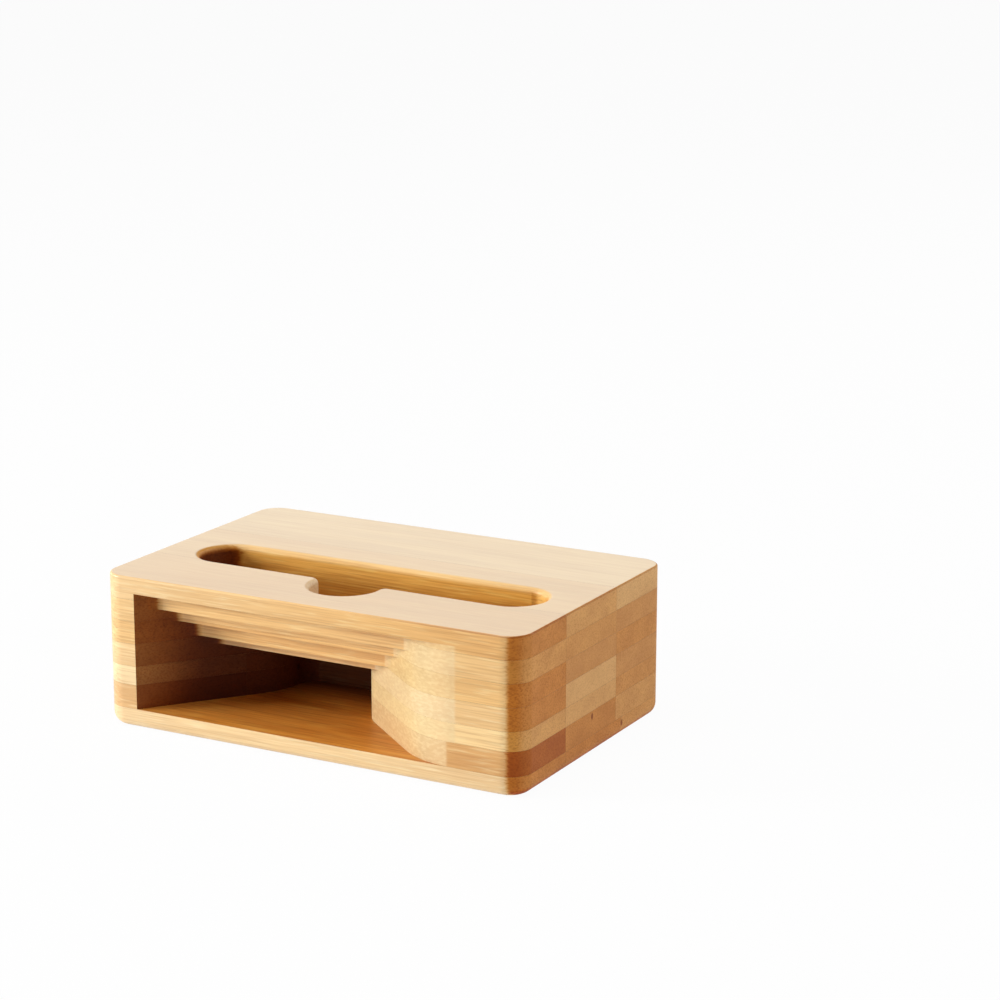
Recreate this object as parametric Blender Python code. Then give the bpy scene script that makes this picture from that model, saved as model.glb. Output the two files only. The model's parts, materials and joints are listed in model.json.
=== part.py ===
"""Phone stand amplifier: a block of laminated bamboo with a phone slot and a stepped sound horn.

Seven layers of strips are glued into a block. The horn is milled upwards from below through
layers two to seven, in five depths, before the base board is glued on as its floor. The phone
slot and its notch are milled from above, and a port joins the slot to the throat of the horn.
Units are metres. X runs along the width, the front faces -Y, and Z = 0 is the resting face.
"""

from math import atan2, ceil, cos, hypot, pi, radians, sin, tan

import bmesh
import bpy

# Block
BLOCK_WIDTH = 0.1200
BLOCK_DEPTH = 0.0784
CORNER_RADIUS = 0.0060
BASE_EDGE_RADIUS = 0.0032
TOP_EDGE_RADIUS = 0.0016

# Layers, from the base board up
LAYER_1_THICKNESS = 0.0054
LAYER_2_THICKNESS = 0.0063
LAYER_3_THICKNESS = 0.0049
LAYER_4_THICKNESS = 0.0059
LAYER_5_THICKNESS = 0.0059
LAYER_6_THICKNESS = 0.0057
LAYER_7_THICKNESS = 0.0059

# Strips of a layer, and the glue line between neighbours. The rear strips take what is left
MIDDLE_STRIP_WIDTH = 0.0273
BASE_MIDDLE_STRIP_WIDTH = 0.0303
GLUE_GAP = 0.0003

# Phone slot, with round ends, and the notch in its front wall
SLOT_LENGTH = 0.0992
SLOT_WIDTH = 0.0166
SLOT_SETBACK = 0.0230
SLOT_FLOOR_THICKNESS = 0.0012
NOTCH_RADIUS = 0.0088
NOTCH_REACH = 0.0122
NOTCH_EDGE_RADIUS = 0.0024

# Plan of the horn: each side wall turns in from the mouth to the throat
HORN_DEPTH = 0.0420
THROAT_WIDTH = 0.0284
THROAT_OFFSET = -0.0110
LEFT_POST_WIDTH = 0.0100
LEFT_FLARE_ANGLE = radians(52)
LEFT_FLARE_RADIUS = 0.0200
RIGHT_PILLAR_WIDTH = 0.0189
RIGHT_LIP_RADIUS = 0.0245
RIGHT_FLARE_ANGLE = radians(39.5)
RIGHT_FLARE_RADIUS = 0.0136
MILL_RADIUS = 0.0052

# Steps of the horn's ceiling: the length of each tread, and where each ceiling meets its layer
STEP_1_LENGTH = 0.0045
STEP_2_LENGTH = 0.0040
STEP_3_LENGTH = 0.0040
STEP_4_LENGTH = 0.0047
CEILING_1_INTO_LAYER_7 = 0.0016
CEILING_2_LEAVES_LAYER_6 = 0.0029
CEILING_3_LEAVES_LAYER_5 = 0.0008
CEILING_4_INTO_LAYER_5 = 0.0007
CEILING_5_LEAVES_LAYER_4 = 0.0022

# Sound port, from the slot's floor down into the throat
PORT_LENGTH = 0.0240
PORT_WIDTH = 0.0080

# How far a cut runs past the wood, and how finely curves are drawn and found
OVERRUN = 0.0020
ARC_STEP = radians(7.5)
EDGE_SEGMENTS = 4
ROUND_PROFILE_SHARE = 0.5
SHARP_ANGLE = radians(25)
HALVINGS = 50

# Tones of the bamboo
PALE = (0.88, 0.72, 0.48, 1)
CREAM = (0.84, 0.66, 0.41, 1)
HONEY = (0.76, 0.55, 0.31, 1)
GOLDEN = (0.66, 0.44, 0.22, 1)
CARAMEL = (0.52, 0.32, 0.14, 1)
BAMBOO_ROUGHNESS = 0.45

# Places worked out from the sizes
LEFT_END = -BLOCK_WIDTH / 2
RIGHT_END = BLOCK_WIDTH / 2
FRONT = -BLOCK_DEPTH / 2
BACK = BLOCK_DEPTH / 2
SEAM_1_2 = LAYER_1_THICKNESS
SEAM_2_3 = SEAM_1_2 + LAYER_2_THICKNESS
SEAM_3_4 = SEAM_2_3 + LAYER_3_THICKNESS
SEAM_4_5 = SEAM_3_4 + LAYER_4_THICKNESS
SEAM_5_6 = SEAM_4_5 + LAYER_5_THICKNESS
SEAM_6_7 = SEAM_5_6 + LAYER_6_THICKNESS
TOP = SEAM_6_7 + LAYER_7_THICKNESS

SLOT_FRONT = FRONT + SLOT_SETBACK
SLOT_CENTRE = SLOT_FRONT + SLOT_WIDTH / 2
SLOT_FLOOR = SEAM_5_6 + SLOT_FLOOR_THICKNESS
NOTCH_CENTRE = SLOT_FRONT - NOTCH_REACH + NOTCH_RADIUS

# The front strips end at the front wall of the slot, so no thin rib is left beside it
FRONT_SEAM = SLOT_FRONT
REAR_SEAM = FRONT_SEAM + MIDDLE_STRIP_WIDTH
BASE_REAR_SEAM = FRONT_SEAM + BASE_MIDDLE_STRIP_WIDTH

THROAT_LEFT = THROAT_OFFSET - THROAT_WIDTH / 2
THROAT_RIGHT = THROAT_OFFSET + THROAT_WIDTH / 2
RISER_1 = FRONT + STEP_1_LENGTH
RISER_2 = RISER_1 + STEP_2_LENGTH
RISER_3 = RISER_2 + STEP_3_LENGTH
RISER_4 = RISER_3 + STEP_4_LENGTH
HORN_BACK = FRONT + HORN_DEPTH
CEILING_1 = SEAM_6_7 + CEILING_1_INTO_LAYER_7
CEILING_2 = SEAM_6_7 - CEILING_2_LEAVES_LAYER_6
CEILING_3 = SEAM_5_6 - CEILING_3_LEAVES_LAYER_5
CEILING_4 = SEAM_4_5 + CEILING_4_INTO_LAYER_5
CEILING_5 = SEAM_4_5 - CEILING_5_LEAVES_LAYER_4


def clear_scene():
    for old in list(bpy.data.objects):
        bpy.data.objects.remove(old, do_unlink=True)


def arc(centre, radius, start, end):
    """Points of an arc from one angle to another, both ends included."""
    steps = max(2, ceil(abs(end - start) / ARC_STEP))
    angles = (start + (end - start) * step / steps for step in range(steps + 1))
    return [(centre[0] + radius * cos(angle), centre[1] + radius * sin(angle)) for angle in angles]


def new_object(name, bm):
    """Turns a bmesh into an object of the scene, with its faces pointing out."""
    bmesh.ops.recalc_face_normals(bm, faces=bm.faces)
    mesh = bpy.data.meshes.new(name)
    bm.to_mesh(mesh)
    bm.free()
    obj = bpy.data.objects.new(name, mesh)
    bpy.context.collection.objects.link(obj)
    return obj


def as_guide(obj):
    obj.hide_render = True
    obj.display_type = "WIRE"
    return obj


def raise_faces(bm, faces, height):
    """Extrudes flat faces straight up and returns the faces at their new height."""
    edges = {edge for face in faces for edge in face.edges}
    raised = bmesh.ops.extrude_face_region(bm, geom=[*faces, *edges])["geom"]
    verts = [item for item in raised if isinstance(item, bmesh.types.BMVert)]
    bmesh.ops.translate(bm, verts=verts, vec=(0, 0, height))
    return [item for item in raised if isinstance(item, bmesh.types.BMFace)]


def upright(outline, low, high):
    """A solid that stands on a closed outline, with its lower and upper face."""
    bm = bmesh.new()
    lower = bm.faces.new([bm.verts.new((x, y, low)) for x, y in outline])
    (upper,) = raise_faces(bm, [lower], high - low)
    return bm, lower, upper


def prism(name, outline, low, high):
    return as_guide(new_object(name, upright(outline, low, high)[0]))


def obround(centre, length, width):
    """Outline of a slot with round ends, long in X."""
    radius = width / 2
    reach = length / 2 - radius
    right = arc((centre[0] + reach, centre[1]), radius, -pi / 2, pi / 2)
    left = arc((centre[0] - reach, centre[1]), radius, pi / 2, 3 * pi / 2)
    return right + left


def rounded_block():
    """The finished outer form, which every strip is trimmed to."""
    corner_x = RIGHT_END - CORNER_RADIUS
    corner_y = BACK - CORNER_RADIUS
    corners = ((corner_x, -corner_y), (corner_x, corner_y), (-corner_x, corner_y), (-corner_x, -corner_y))
    outline = []
    for quarter, corner in enumerate(corners):
        start = (quarter - 1) * pi / 2
        outline += arc(corner, CORNER_RADIUS, start, start + pi / 2)
    bm, lower, upper = upright(outline, 0, TOP)
    for rim, radius in ((list(lower.edges), BASE_EDGE_RADIUS), (list(upper.edges), TOP_EDGE_RADIUS)):
        bmesh.ops.bevel(
            bm,
            geom=rim,
            offset=radius,
            offset_type="OFFSET",
            segments=EDGE_SEGMENTS,
            profile=ROUND_PROFILE_SHARE,
            affect="EDGES",
        )
    return as_guide(new_object("rounded_block", bm))


def slot_cutter():
    """The phone slot, with the round notch that opens its front wall for a charging plug."""
    # The rounded corner between slot and notch touches both
    edge_y = SLOT_FRONT - NOTCH_EDGE_RADIUS
    edge_x = ((NOTCH_RADIUS + NOTCH_EDGE_RADIUS) ** 2 - (edge_y - NOTCH_CENTRE) ** 2) ** 0.5
    touch = atan2(edge_y - NOTCH_CENTRE, edge_x)
    outline = obround((0, SLOT_CENTRE), SLOT_LENGTH, SLOT_WIDTH)
    outline += arc((-edge_x, edge_y), NOTCH_EDGE_RADIUS, pi / 2, -touch)
    outline += arc((0, NOTCH_CENTRE), NOTCH_RADIUS, pi - touch, 2 * pi + touch)[1:-1]
    outline += arc((edge_x, edge_y), NOTCH_EDGE_RADIUS, pi + touch, pi / 2)
    return prism("slot_cutter", outline, SLOT_FLOOR, TOP + OVERRUN)


def port_cutter():
    outline = obround((THROAT_OFFSET, SLOT_CENTRE), PORT_LENGTH, PORT_WIDTH)
    return prism("port_cutter", outline, CEILING_5 - OVERRUN, SLOT_FLOOR + OVERRUN)


def left_wall():
    """From in front of the mouth's sharp left edge, straight in, then round to the throat."""
    edge = LEFT_END + LEFT_POST_WIDTH
    slope = tan(LEFT_FLARE_ANGLE)
    turn_x = THROAT_LEFT - LEFT_FLARE_RADIUS * (1 - sin(LEFT_FLARE_ANGLE))
    turn_y = FRONT + (turn_x - edge) * slope
    centre = (THROAT_LEFT - LEFT_FLARE_RADIUS, turn_y + LEFT_FLARE_RADIUS * cos(LEFT_FLARE_ANGLE))
    start = (edge - OVERRUN / slope, FRONT - OVERRUN)
    bend = arc(centre, LEFT_FLARE_RADIUS, LEFT_FLARE_ANGLE - pi / 2, 0)
    return [start, *bend, (THROAT_LEFT, HORN_BACK)]


def right_wall():
    """From the front face, round the lip, straight in, then round to the throat."""
    lip_centre = (RIGHT_END - RIGHT_PILLAR_WIDTH, FRONT + RIGHT_LIP_RADIUS)
    lip = arc(lip_centre, RIGHT_LIP_RADIUS, -pi / 2, -pi / 2 - RIGHT_FLARE_ANGLE)
    turn_x = THROAT_RIGHT + RIGHT_FLARE_RADIUS * (1 - sin(RIGHT_FLARE_ANGLE))
    turn_y = lip[-1][1] + (lip[-1][0] - turn_x) * tan(RIGHT_FLARE_ANGLE)
    centre = (THROAT_RIGHT + RIGHT_FLARE_RADIUS, turn_y + RIGHT_FLARE_RADIUS * cos(RIGHT_FLARE_ANGLE))
    bend = arc(centre, RIGHT_FLARE_RADIUS, -pi / 2 - RIGHT_FLARE_ANGLE, -pi)
    start = (lip_centre[0], FRONT - OVERRUN)
    return [start, *lip, *bend, (THROAT_RIGHT, HORN_BACK)]


def wall_x(wall, y):
    """Where a wall, whose points run from front to back, crosses a line along X."""
    for (ax, ay), (bx, by) in zip(wall, wall[1:]):
        if y <= by:
            break
    return ax + (bx - ax) * (y - ay) / (by - ay)


def nearest(wall, point):
    """Distance from a point to a wall, with the place on the wall and the run that it lies on."""
    found = []
    for run, ((ax, ay), (bx, by)) in enumerate(zip(wall, wall[1:])):
        along = ((point[0] - ax) * (bx - ax) + (point[1] - ay) * (by - ay)) / ((bx - ax) ** 2 + (by - ay) ** 2)
        along = min(max(along, 0), 1)
        place = (ax + along * (bx - ax), ay + along * (by - ay))
        found.append((hypot(point[0] - place[0], point[1] - place[1]), place, run))
    return min(found)


def mill_corner(wall, riser):
    """Where the round mill stops when it touches both a side wall and a riser.

    Returns the place it touches on the wall, the run of the wall, and its arc to the riser.
    """
    centre_y = riser - MILL_RADIUS
    touching = wall_x(wall, centre_y)
    clear = THROAT_OFFSET
    for _ in range(HALVINGS):
        centre = ((touching + clear) / 2, centre_y)
        if nearest(wall, centre)[0] < MILL_RADIUS:
            touching = centre[0]
        else:
            clear = centre[0]
    _, place, run = nearest(wall, centre)
    turn = atan2(place[0] - centre[0], place[1] - centre_y)
    return place, run, arc(centre, MILL_RADIUS, pi / 2 - turn, pi / 2)[1:]


def horn_cutter():
    """The stepped horn. Its plan is divided at each riser, and the parts rise in turn."""
    risers = (RISER_1, RISER_2, RISER_3, RISER_4, HORN_BACK)
    ceilings = (CEILING_1, CEILING_2, CEILING_3, CEILING_4, CEILING_5)
    bm = bmesh.new()

    def placed(point):
        return bm.verts.new((point[0], point[1], SEAM_1_2))

    walls = (left_wall(), right_wall())
    corners = [[mill_corner(wall, riser) for wall in walls] for riser in risers]
    sides = [[placed(wall[0])] for wall in walls]
    cut_in = [0, 0]
    treads = []
    front_edge = [sides[0][0], sides[1][0]]
    for left, right in corners:
        stretches = []
        for side, (place, run, _) in enumerate((left, right)):
            between = [placed(point) for point in walls[side][cut_in[side] + 1 : run + 1]]
            between.append(placed(place))
            stretches.append(between)
            cut_in[side] = run
        riser_line = [placed(point) for point in left[2] + right[2][::-1]]
        back_edge = [stretches[0][-1], *riser_line, stretches[1][-1]]
        outline = front_edge[::-1] + stretches[0][:-1] + back_edge + stretches[1][:-1][::-1]
        treads.append(bm.faces.new(outline))
        front_edge = back_edge
    low = SEAM_1_2
    for count in range(len(treads), 0, -1):
        high = ceilings[count - 1]
        raised = raise_faces(bm, treads[:count], high - low)
        treads = sorted(raised, key=lambda face: face.calc_center_median().y)
        low = high
    return as_guide(new_object("horn_cutter", bm))


def bamboo(name, tone):
    material = bpy.data.materials.new(name)
    material.use_nodes = True
    shader = material.node_tree.nodes["Principled BSDF"]
    shader.inputs["Base Color"].default_value = tone
    shader.inputs["Roughness"].default_value = BAMBOO_ROUGHNESS
    shader.inputs["Metallic"].default_value = 0
    return material


def boolean(obj, other, operation):
    modifier = obj.modifiers.new(other.name, "BOOLEAN")
    modifier.operation = operation
    modifier.solver = "EXACT"
    modifier.object = other


def strip(name, span_x, span_y, span_z, block, cutters, tone):
    """One strip of bamboo, sawn oversize where it is trimmed to the block, then cut."""
    size = [high - low for low, high in (span_x, span_y, span_z)]
    bm = bmesh.new()
    bmesh.ops.create_cube(bm, size=1)
    bmesh.ops.scale(bm, verts=bm.verts, vec=size)
    piece = new_object(name, bm)
    piece.location = [(low + high) / 2 for low, high in (span_x, span_y, span_z)]
    boolean(piece, block, "INTERSECT")
    for cutter in cutters:
        boolean(piece, cutter, "DIFFERENCE")
    piece.data.materials.append(bamboo(name, tone))
    return piece


def layer(prefix, low, high, rear_seam, block, front_cutters, middle_cutters, tones, split=False):
    """The strips of one layer, front to rear. The horn divides a split layer's front strip in two."""
    half_gap = GLUE_GAP / 2
    span_z = (low + half_gap if low else -OVERRUN, high - half_gap if high < TOP else TOP + OVERRUN)
    whole = (LEFT_END - OVERRUN, RIGHT_END + OVERRUN)
    front = (FRONT - OVERRUN, FRONT_SEAM - half_gap)
    middle = (FRONT_SEAM + half_gap, rear_seam - half_gap)
    rear = (rear_seam + half_gap, BACK + OVERRUN)
    if split:
        places = [("front_left", (LEFT_END - OVERRUN, THROAT_OFFSET), front, front_cutters, tones[0])]
        places.append(("front_right", (THROAT_OFFSET, RIGHT_END + OVERRUN), front, front_cutters, tones[0]))
    else:
        places = [("front", whole, front, front_cutters, tones[0])]
    places.append(("middle", whole, middle, middle_cutters, tones[1]))
    places.append(("rear", whole, rear, (), tones[2]))
    return [
        strip(f"{prefix}_{place}_strip", span_x, span_y, span_z, block, cutters, tone)
        for place, span_x, span_y, cutters, tone in places
    ]


def finish(pieces, guides):
    """Makes the cuts real, drops the guides and shades the milled curves smooth."""
    depsgraph = bpy.context.evaluated_depsgraph_get()
    meshes = [bpy.data.meshes.new_from_object(piece.evaluated_get(depsgraph)) for piece in pieces]
    for piece, mesh in zip(pieces, meshes):
        piece.modifiers.clear()
        piece.data = mesh
        mesh.name = piece.name
        mesh.shade_smooth()
        mesh.set_sharp_from_angle(angle=SHARP_ANGLE)
    for guide in guides:
        bpy.data.objects.remove(guide, do_unlink=True)


def build():
    clear_scene()
    block = rounded_block()
    horn = horn_cutter()
    slot = slot_cutter()
    port = port_cutter()
    seam = REAR_SEAM
    pieces = layer("base", 0, SEAM_1_2, BASE_REAR_SEAM, block, (), (), (CREAM, CREAM, PALE))
    tones = (CARAMEL, HONEY, CREAM)
    pieces += layer("layer_2", SEAM_1_2, SEAM_2_3, seam, block, (horn,), (horn,), tones, split=True)
    tones = (PALE, CREAM, HONEY)
    pieces += layer("layer_3", SEAM_2_3, SEAM_3_4, seam, block, (horn,), (horn,), tones, split=True)
    tones = (HONEY, CREAM, GOLDEN)
    pieces += layer("layer_4", SEAM_3_4, SEAM_4_5, seam, block, (horn,), (horn, port), tones)
    tones = (CREAM, GOLDEN, HONEY)
    pieces += layer("layer_5", SEAM_4_5, SEAM_5_6, seam, block, (horn,), (port,), tones)
    tones = (CREAM, HONEY, GOLDEN)
    pieces += layer("layer_6", SEAM_5_6, SEAM_6_7, seam, block, (horn, slot), (slot, port), tones)
    tones = (HONEY, CREAM, PALE)
    pieces += layer("layer_7", SEAM_6_7, TOP, seam, block, (horn, slot), (slot,), tones)
    bpy.context.view_layer.update()
    finish(pieces, (block, horn, slot, port))
    stand = bpy.data.objects.new("phone_stand", None)
    bpy.context.collection.objects.link(stand)
    for piece in pieces:
        piece.parent = stand


build()
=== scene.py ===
# %% [markdown]
# # A bamboo phone stand with a sound horn
#
# The real object is glued up from 23 bamboo strips in seven layers. A mill cuts a stepped horn
# into it from below before the base board goes on, and a slot for the phone from above. This
# lesson makes it in the same order: the block, the cutters, the strips, and then the finish.
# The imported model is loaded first, as the frame that every new piece is fitted to.

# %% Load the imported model
import json
from math import atan2, ceil, cos, hypot, pi, radians, sin, tan

import bmesh
import bpy
from mathutils import Matrix, Vector


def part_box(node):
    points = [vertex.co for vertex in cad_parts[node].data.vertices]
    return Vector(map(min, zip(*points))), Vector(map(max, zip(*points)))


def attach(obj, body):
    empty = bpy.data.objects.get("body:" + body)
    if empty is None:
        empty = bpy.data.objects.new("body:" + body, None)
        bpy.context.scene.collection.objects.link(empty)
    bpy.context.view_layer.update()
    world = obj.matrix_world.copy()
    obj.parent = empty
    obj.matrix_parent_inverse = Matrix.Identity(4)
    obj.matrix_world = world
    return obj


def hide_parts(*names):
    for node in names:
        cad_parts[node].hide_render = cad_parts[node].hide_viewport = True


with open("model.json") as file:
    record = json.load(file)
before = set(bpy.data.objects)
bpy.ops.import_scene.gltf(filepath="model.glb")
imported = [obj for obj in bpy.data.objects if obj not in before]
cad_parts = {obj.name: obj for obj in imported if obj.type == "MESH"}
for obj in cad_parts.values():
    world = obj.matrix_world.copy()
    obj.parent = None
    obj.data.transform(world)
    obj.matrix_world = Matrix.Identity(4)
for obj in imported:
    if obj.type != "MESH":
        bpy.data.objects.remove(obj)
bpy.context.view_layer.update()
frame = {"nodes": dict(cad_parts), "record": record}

MM = 0.001
scene = bpy.context.scene
print("packed nodes:", len(frame["nodes"]))

# %% [markdown]
# ## The measures
#
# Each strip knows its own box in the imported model, so the width, depth, height and the seams
# between the layers are read from there. Only the cuts need numbers of their own, and these are
# written in millimetres, as on a workshop drawing. Typing the seams in again would work too, but
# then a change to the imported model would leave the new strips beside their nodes.

# %% Read the block and its seams
base_low, base_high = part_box("base_front_strip")
top_low, top_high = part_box("layer_7_rear_strip")
LEFT, RIGHT = base_low.x, base_high.x
FRONT, BACK = base_low.y, top_high.y
BOTTOM, TOP = base_low.z, top_high.z


def seam(axis, node, next_node):
    """The middle of the glue line between a strip and its neighbour in front, below or beside."""
    return (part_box(node)[1][axis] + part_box(next_node)[0][axis]) / 2


LAYERS = ["base", "layer_2", "layer_3", "layer_4", "layer_5", "layer_6", "layer_7"]
middles = [f"{layer}_middle_strip" for layer in LAYERS]
LEVELS = [BOTTOM] + [seam(2, low, high) for low, high in zip(middles, middles[1:])] + [TOP]
FRONT_SEAM = seam(1, "layer_7_front_strip", "layer_7_middle_strip")
REAR_SEAM = seam(1, "layer_7_middle_strip", "layer_7_rear_strip")
BASE_REAR_SEAM = seam(1, "base_middle_strip", "base_rear_strip")
print("seams in mm:", [round(level / MM, 1) for level in LEVELS])

# %% [markdown]
# ## Camera
#
# The camera stands where the photograph's camera stood: about 28 degrees round to the right and
# 14 degrees up, on a long lens. It could be placed by eye, but the block's corners in the
# photograph fix it to a fraction of a pixel, so the fitted numbers are used. The block stands in
# the lower left of the picture, so the camera aims at a place beside and above it.

# %% Place the camera
AZIMUTH, ELEVATION, ROLL = radians(28.471), radians(14.094), radians(0.077)
DISTANCE = 687.32 * MM
AIM = Vector((33.102, 0, 61.418)) * MM
FOCAL_LENGTH, SENSOR_WIDTH = 100.476, 36

back = Vector((sin(AZIMUTH) * cos(ELEVATION), -cos(AZIMUTH) * cos(ELEVATION), sin(ELEVATION)))
right = Vector((cos(AZIMUTH), sin(AZIMUTH), 0))
up = back.cross(right)
rolled_right = cos(ROLL) * right + sin(ROLL) * up
rolled_up = back.cross(rolled_right)

lens = bpy.data.cameras.new("camera")
lens.lens = FOCAL_LENGTH
lens.sensor_width = SENSOR_WIDTH
camera = bpy.data.objects.new("camera", lens)
scene.collection.objects.link(camera)
turn = Matrix((rolled_right, rolled_up, back)).transposed().to_4x4()
camera.matrix_world = Matrix.Translation(AIM + back * DISTANCE) @ turn
scene.camera = camera
print("camera in mm:", [round(value / MM, 1) for value in camera.matrix_world.translation])

# %% [markdown]
# ## A few handles on Blender's tools
#
# Operators act on whatever is selected, so a piece is always taken alone before it is worked on.
# In edit mode, edges and faces are picked by their place, as one would click them.

# %% Take a piece and pick its edges


def take(piece):
    """Selects one piece, and nothing else."""
    bpy.ops.object.select_all(action="DESELECT")
    bpy.context.view_layer.objects.active = piece
    piece.select_set(True)


def edit(piece):
    """Opens one piece in edit mode."""
    take(piece)
    bpy.ops.object.mode_set(mode="EDIT")


def leave():
    """Goes back to object mode, which writes the mesh."""
    bpy.ops.object.mode_set(mode="OBJECT")


def pick_edges(piece, rule):
    """In edit mode, selects the edges that a rule, asked with both ends, says yes to."""
    bpy.ops.mesh.select_mode(type="EDGE")
    bpy.ops.mesh.select_all(action="DESELECT")
    mesh = bmesh.from_edit_mesh(piece.data)
    chosen = [edge for edge in mesh.edges if rule(edge.verts[0].co, edge.verts[1].co)]
    for edge in chosen:
        edge.select_set(True)
    bmesh.update_edit_mesh(piece.data)
    return len(chosen)


def round_edges(radius, segments):
    """Rounds the selected edges."""
    bpy.ops.mesh.bevel(offset=radius, segments=segments, profile=0.5, affect="EDGES")


def add_box(name, low, high):
    """A box between two corners, with its place in its mesh."""
    bpy.ops.object.select_all(action="DESELECT")
    middle = [(a + b) / 2 for a, b in zip(low, high)]
    size = [b - a for a, b in zip(low, high)]
    bpy.ops.mesh.primitive_cube_add(size=1, location=middle, scale=size)
    bpy.ops.object.transform_apply(location=True, rotation=False, scale=True)
    piece = bpy.context.object
    piece.name = name
    return piece


def near(value, place, slack=0.01 * MM):
    """Whether two lengths are the same, apart from rounding."""
    return abs(value - place) < slack


# %% [markdown]
# ## The block
#
# All strips share one outer form, which the maker sands after gluing: upright corners of 6 mm, a
# round lower edge and a finer upper edge. Each strip could be rounded on its own, but then the
# curves would have to meet at every glue line. So one block is rounded, and the strips are cut
# out of it later.

# %% Round the block
CORNER_RADIUS, CORNER_SEGMENTS = 6.0 * MM, 14
BASE_EDGE_RADIUS, BASE_EDGE_SEGMENTS = 3.2 * MM, 8
TOP_EDGE_RADIUS, TOP_EDGE_SEGMENTS = 0.6 * MM, 6

block = add_box("block", (LEFT, FRONT, BOTTOM), (RIGHT, BACK, TOP))
edit(block)
corners = pick_edges(block, lambda a, b: not near(a.z, b.z))
round_edges(CORNER_RADIUS, CORNER_SEGMENTS)
rims = pick_edges(block, lambda a, b: near(a.z, BOTTOM) and near(b.z, BOTTOM))
round_edges(BASE_EDGE_RADIUS, BASE_EDGE_SEGMENTS)
rims += pick_edges(block, lambda a, b: near(a.z, TOP) and near(b.z, TOP))
round_edges(TOP_EDGE_RADIUS, TOP_EDGE_SEGMENTS)
leave()
print("block:", corners, "corners and", rims, "rim edges rounded,", len(block.data.polygons), "faces")

# %% [markdown]
# ## Outlines for the cutters
#
# A milled pocket is an outline with a depth. The outline is drawn the way one draws it by hand:
# one point is extruded from place to place, the loop is closed and filled, and the face is
# extruded to its height. Rounded boxes would do for a plain slot, but the horn's walls are
# tangent curves, and an outline takes any curve. The cuts are booleans with the manifold solver,
# because it gives the same mesh on every run, and they are applied at once.

# %% Draw an outline and raise it
ARC_STEP = radians(3)


def arc(centre, radius, start, end):
    """Points of an arc from one angle to another, both ends included."""
    steps = max(2, ceil(abs(end - start) / ARC_STEP))
    angles = (start + (end - start) * step / steps for step in range(steps + 1))
    return [(centre[0] + radius * cos(angle), centre[1] + radius * sin(angle)) for angle in angles]


def raise_outline(name, outline, low, high):
    """A cutter that stands on an outline."""
    bpy.ops.object.select_all(action="DESELECT")
    bpy.ops.mesh.primitive_plane_add(size=MM, location=(*outline[0], low))
    bpy.ops.object.transform_apply(location=True)
    cutter = bpy.context.object
    cutter.name = name
    edit(cutter)
    bpy.ops.mesh.select_mode(type="VERT")
    bpy.ops.mesh.select_all(action="SELECT")
    bpy.ops.mesh.merge(type="CENTER")
    for (ax, ay), (bx, by) in zip(outline, outline[1:]):
        bpy.ops.mesh.extrude_vertices_move(TRANSFORM_OT_translate={"value": (bx - ax, by - ay, 0)})
    bpy.ops.mesh.select_all(action="SELECT")
    bpy.ops.mesh.edge_face_add()
    bpy.ops.mesh.extrude_region_move(TRANSFORM_OT_translate={"value": (0, 0, high - low)})
    bpy.ops.mesh.select_all(action="SELECT")
    bpy.ops.mesh.normals_make_consistent(inside=False)
    leave()
    return cutter


def cut(piece, cutter, operation="DIFFERENCE"):
    """Cuts one piece with another, for good."""
    take(piece)
    modifier = piece.modifiers.new(cutter.name, "BOOLEAN")
    modifier.operation = operation
    modifier.solver = "MANIFOLD"
    modifier.object = cutter
    bpy.ops.object.modifier_apply(modifier=modifier.name)


print("points in a quarter circle:", len(arc((0, 0), MM, 0, pi / 2)))

# %% [markdown]
# ## The horn
#
# The horn spreads the sound from a narrow throat to the wide mouth. Its left wall runs in
# straight from a sharp edge and bends back, and its right wall starts as a large round lip that
# is tangent to the front. The ceiling comes down in five levels. The mill cuts them as five
# pockets, each shorter and higher than the one before, so a riser ends in two corners with the
# mill's own radius. The same walls serve all five pockets, and only the corners are worked out
# for each.

# %% Draw the horn's two walls
PAST = 2 * MM
POST_EDGE = LEFT + 10.0 * MM
LIP_START = RIGHT - 18.9 * MM
THROAT_LEFT, THROAT_RIGHT = -25.2 * MM, 3.2 * MM
THROAT_MIDDLE = (THROAT_LEFT + THROAT_RIGHT) / 2
HORN_BACK = FRONT + 42.0 * MM
LEFT_SLOPE, LEFT_BEND = radians(52), 20.0 * MM
RIGHT_SLOPE, RIGHT_BEND, LIP_RADIUS = radians(39.5), 13.6 * MM, 24.5 * MM


def left_wall():
    """From the sharp front edge along a straight, round a bend and straight back."""
    turn_x = THROAT_LEFT - LEFT_BEND * (1 - sin(LEFT_SLOPE))
    turn_y = FRONT + (turn_x - POST_EDGE) * tan(LEFT_SLOPE)
    centre = (THROAT_LEFT - LEFT_BEND, turn_y + LEFT_BEND * cos(LEFT_SLOPE))
    start = (POST_EDGE - PAST / tan(LEFT_SLOPE), FRONT - PAST)
    return [start, *arc(centre, LEFT_BEND, LEFT_SLOPE - pi / 2, 0), (THROAT_LEFT, HORN_BACK)]


def right_wall():
    """From the front over the round lip, along a straight, round a bend and straight back."""
    lip = arc((LIP_START, FRONT + LIP_RADIUS), LIP_RADIUS, -pi / 2, -pi / 2 - RIGHT_SLOPE)
    turn_x = THROAT_RIGHT + RIGHT_BEND * (1 - sin(RIGHT_SLOPE))
    turn_y = lip[-1][1] + (lip[-1][0] - turn_x) * tan(RIGHT_SLOPE)
    centre = (THROAT_RIGHT + RIGHT_BEND, turn_y + RIGHT_BEND * cos(RIGHT_SLOPE))
    bend = arc(centre, RIGHT_BEND, -pi / 2 - RIGHT_SLOPE, -pi)
    return [(LIP_START, FRONT - PAST), *lip, *bend, (THROAT_RIGHT, HORN_BACK)]


walls = (left_wall(), right_wall())
print("points along the walls:", [len(wall) for wall in walls])

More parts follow.
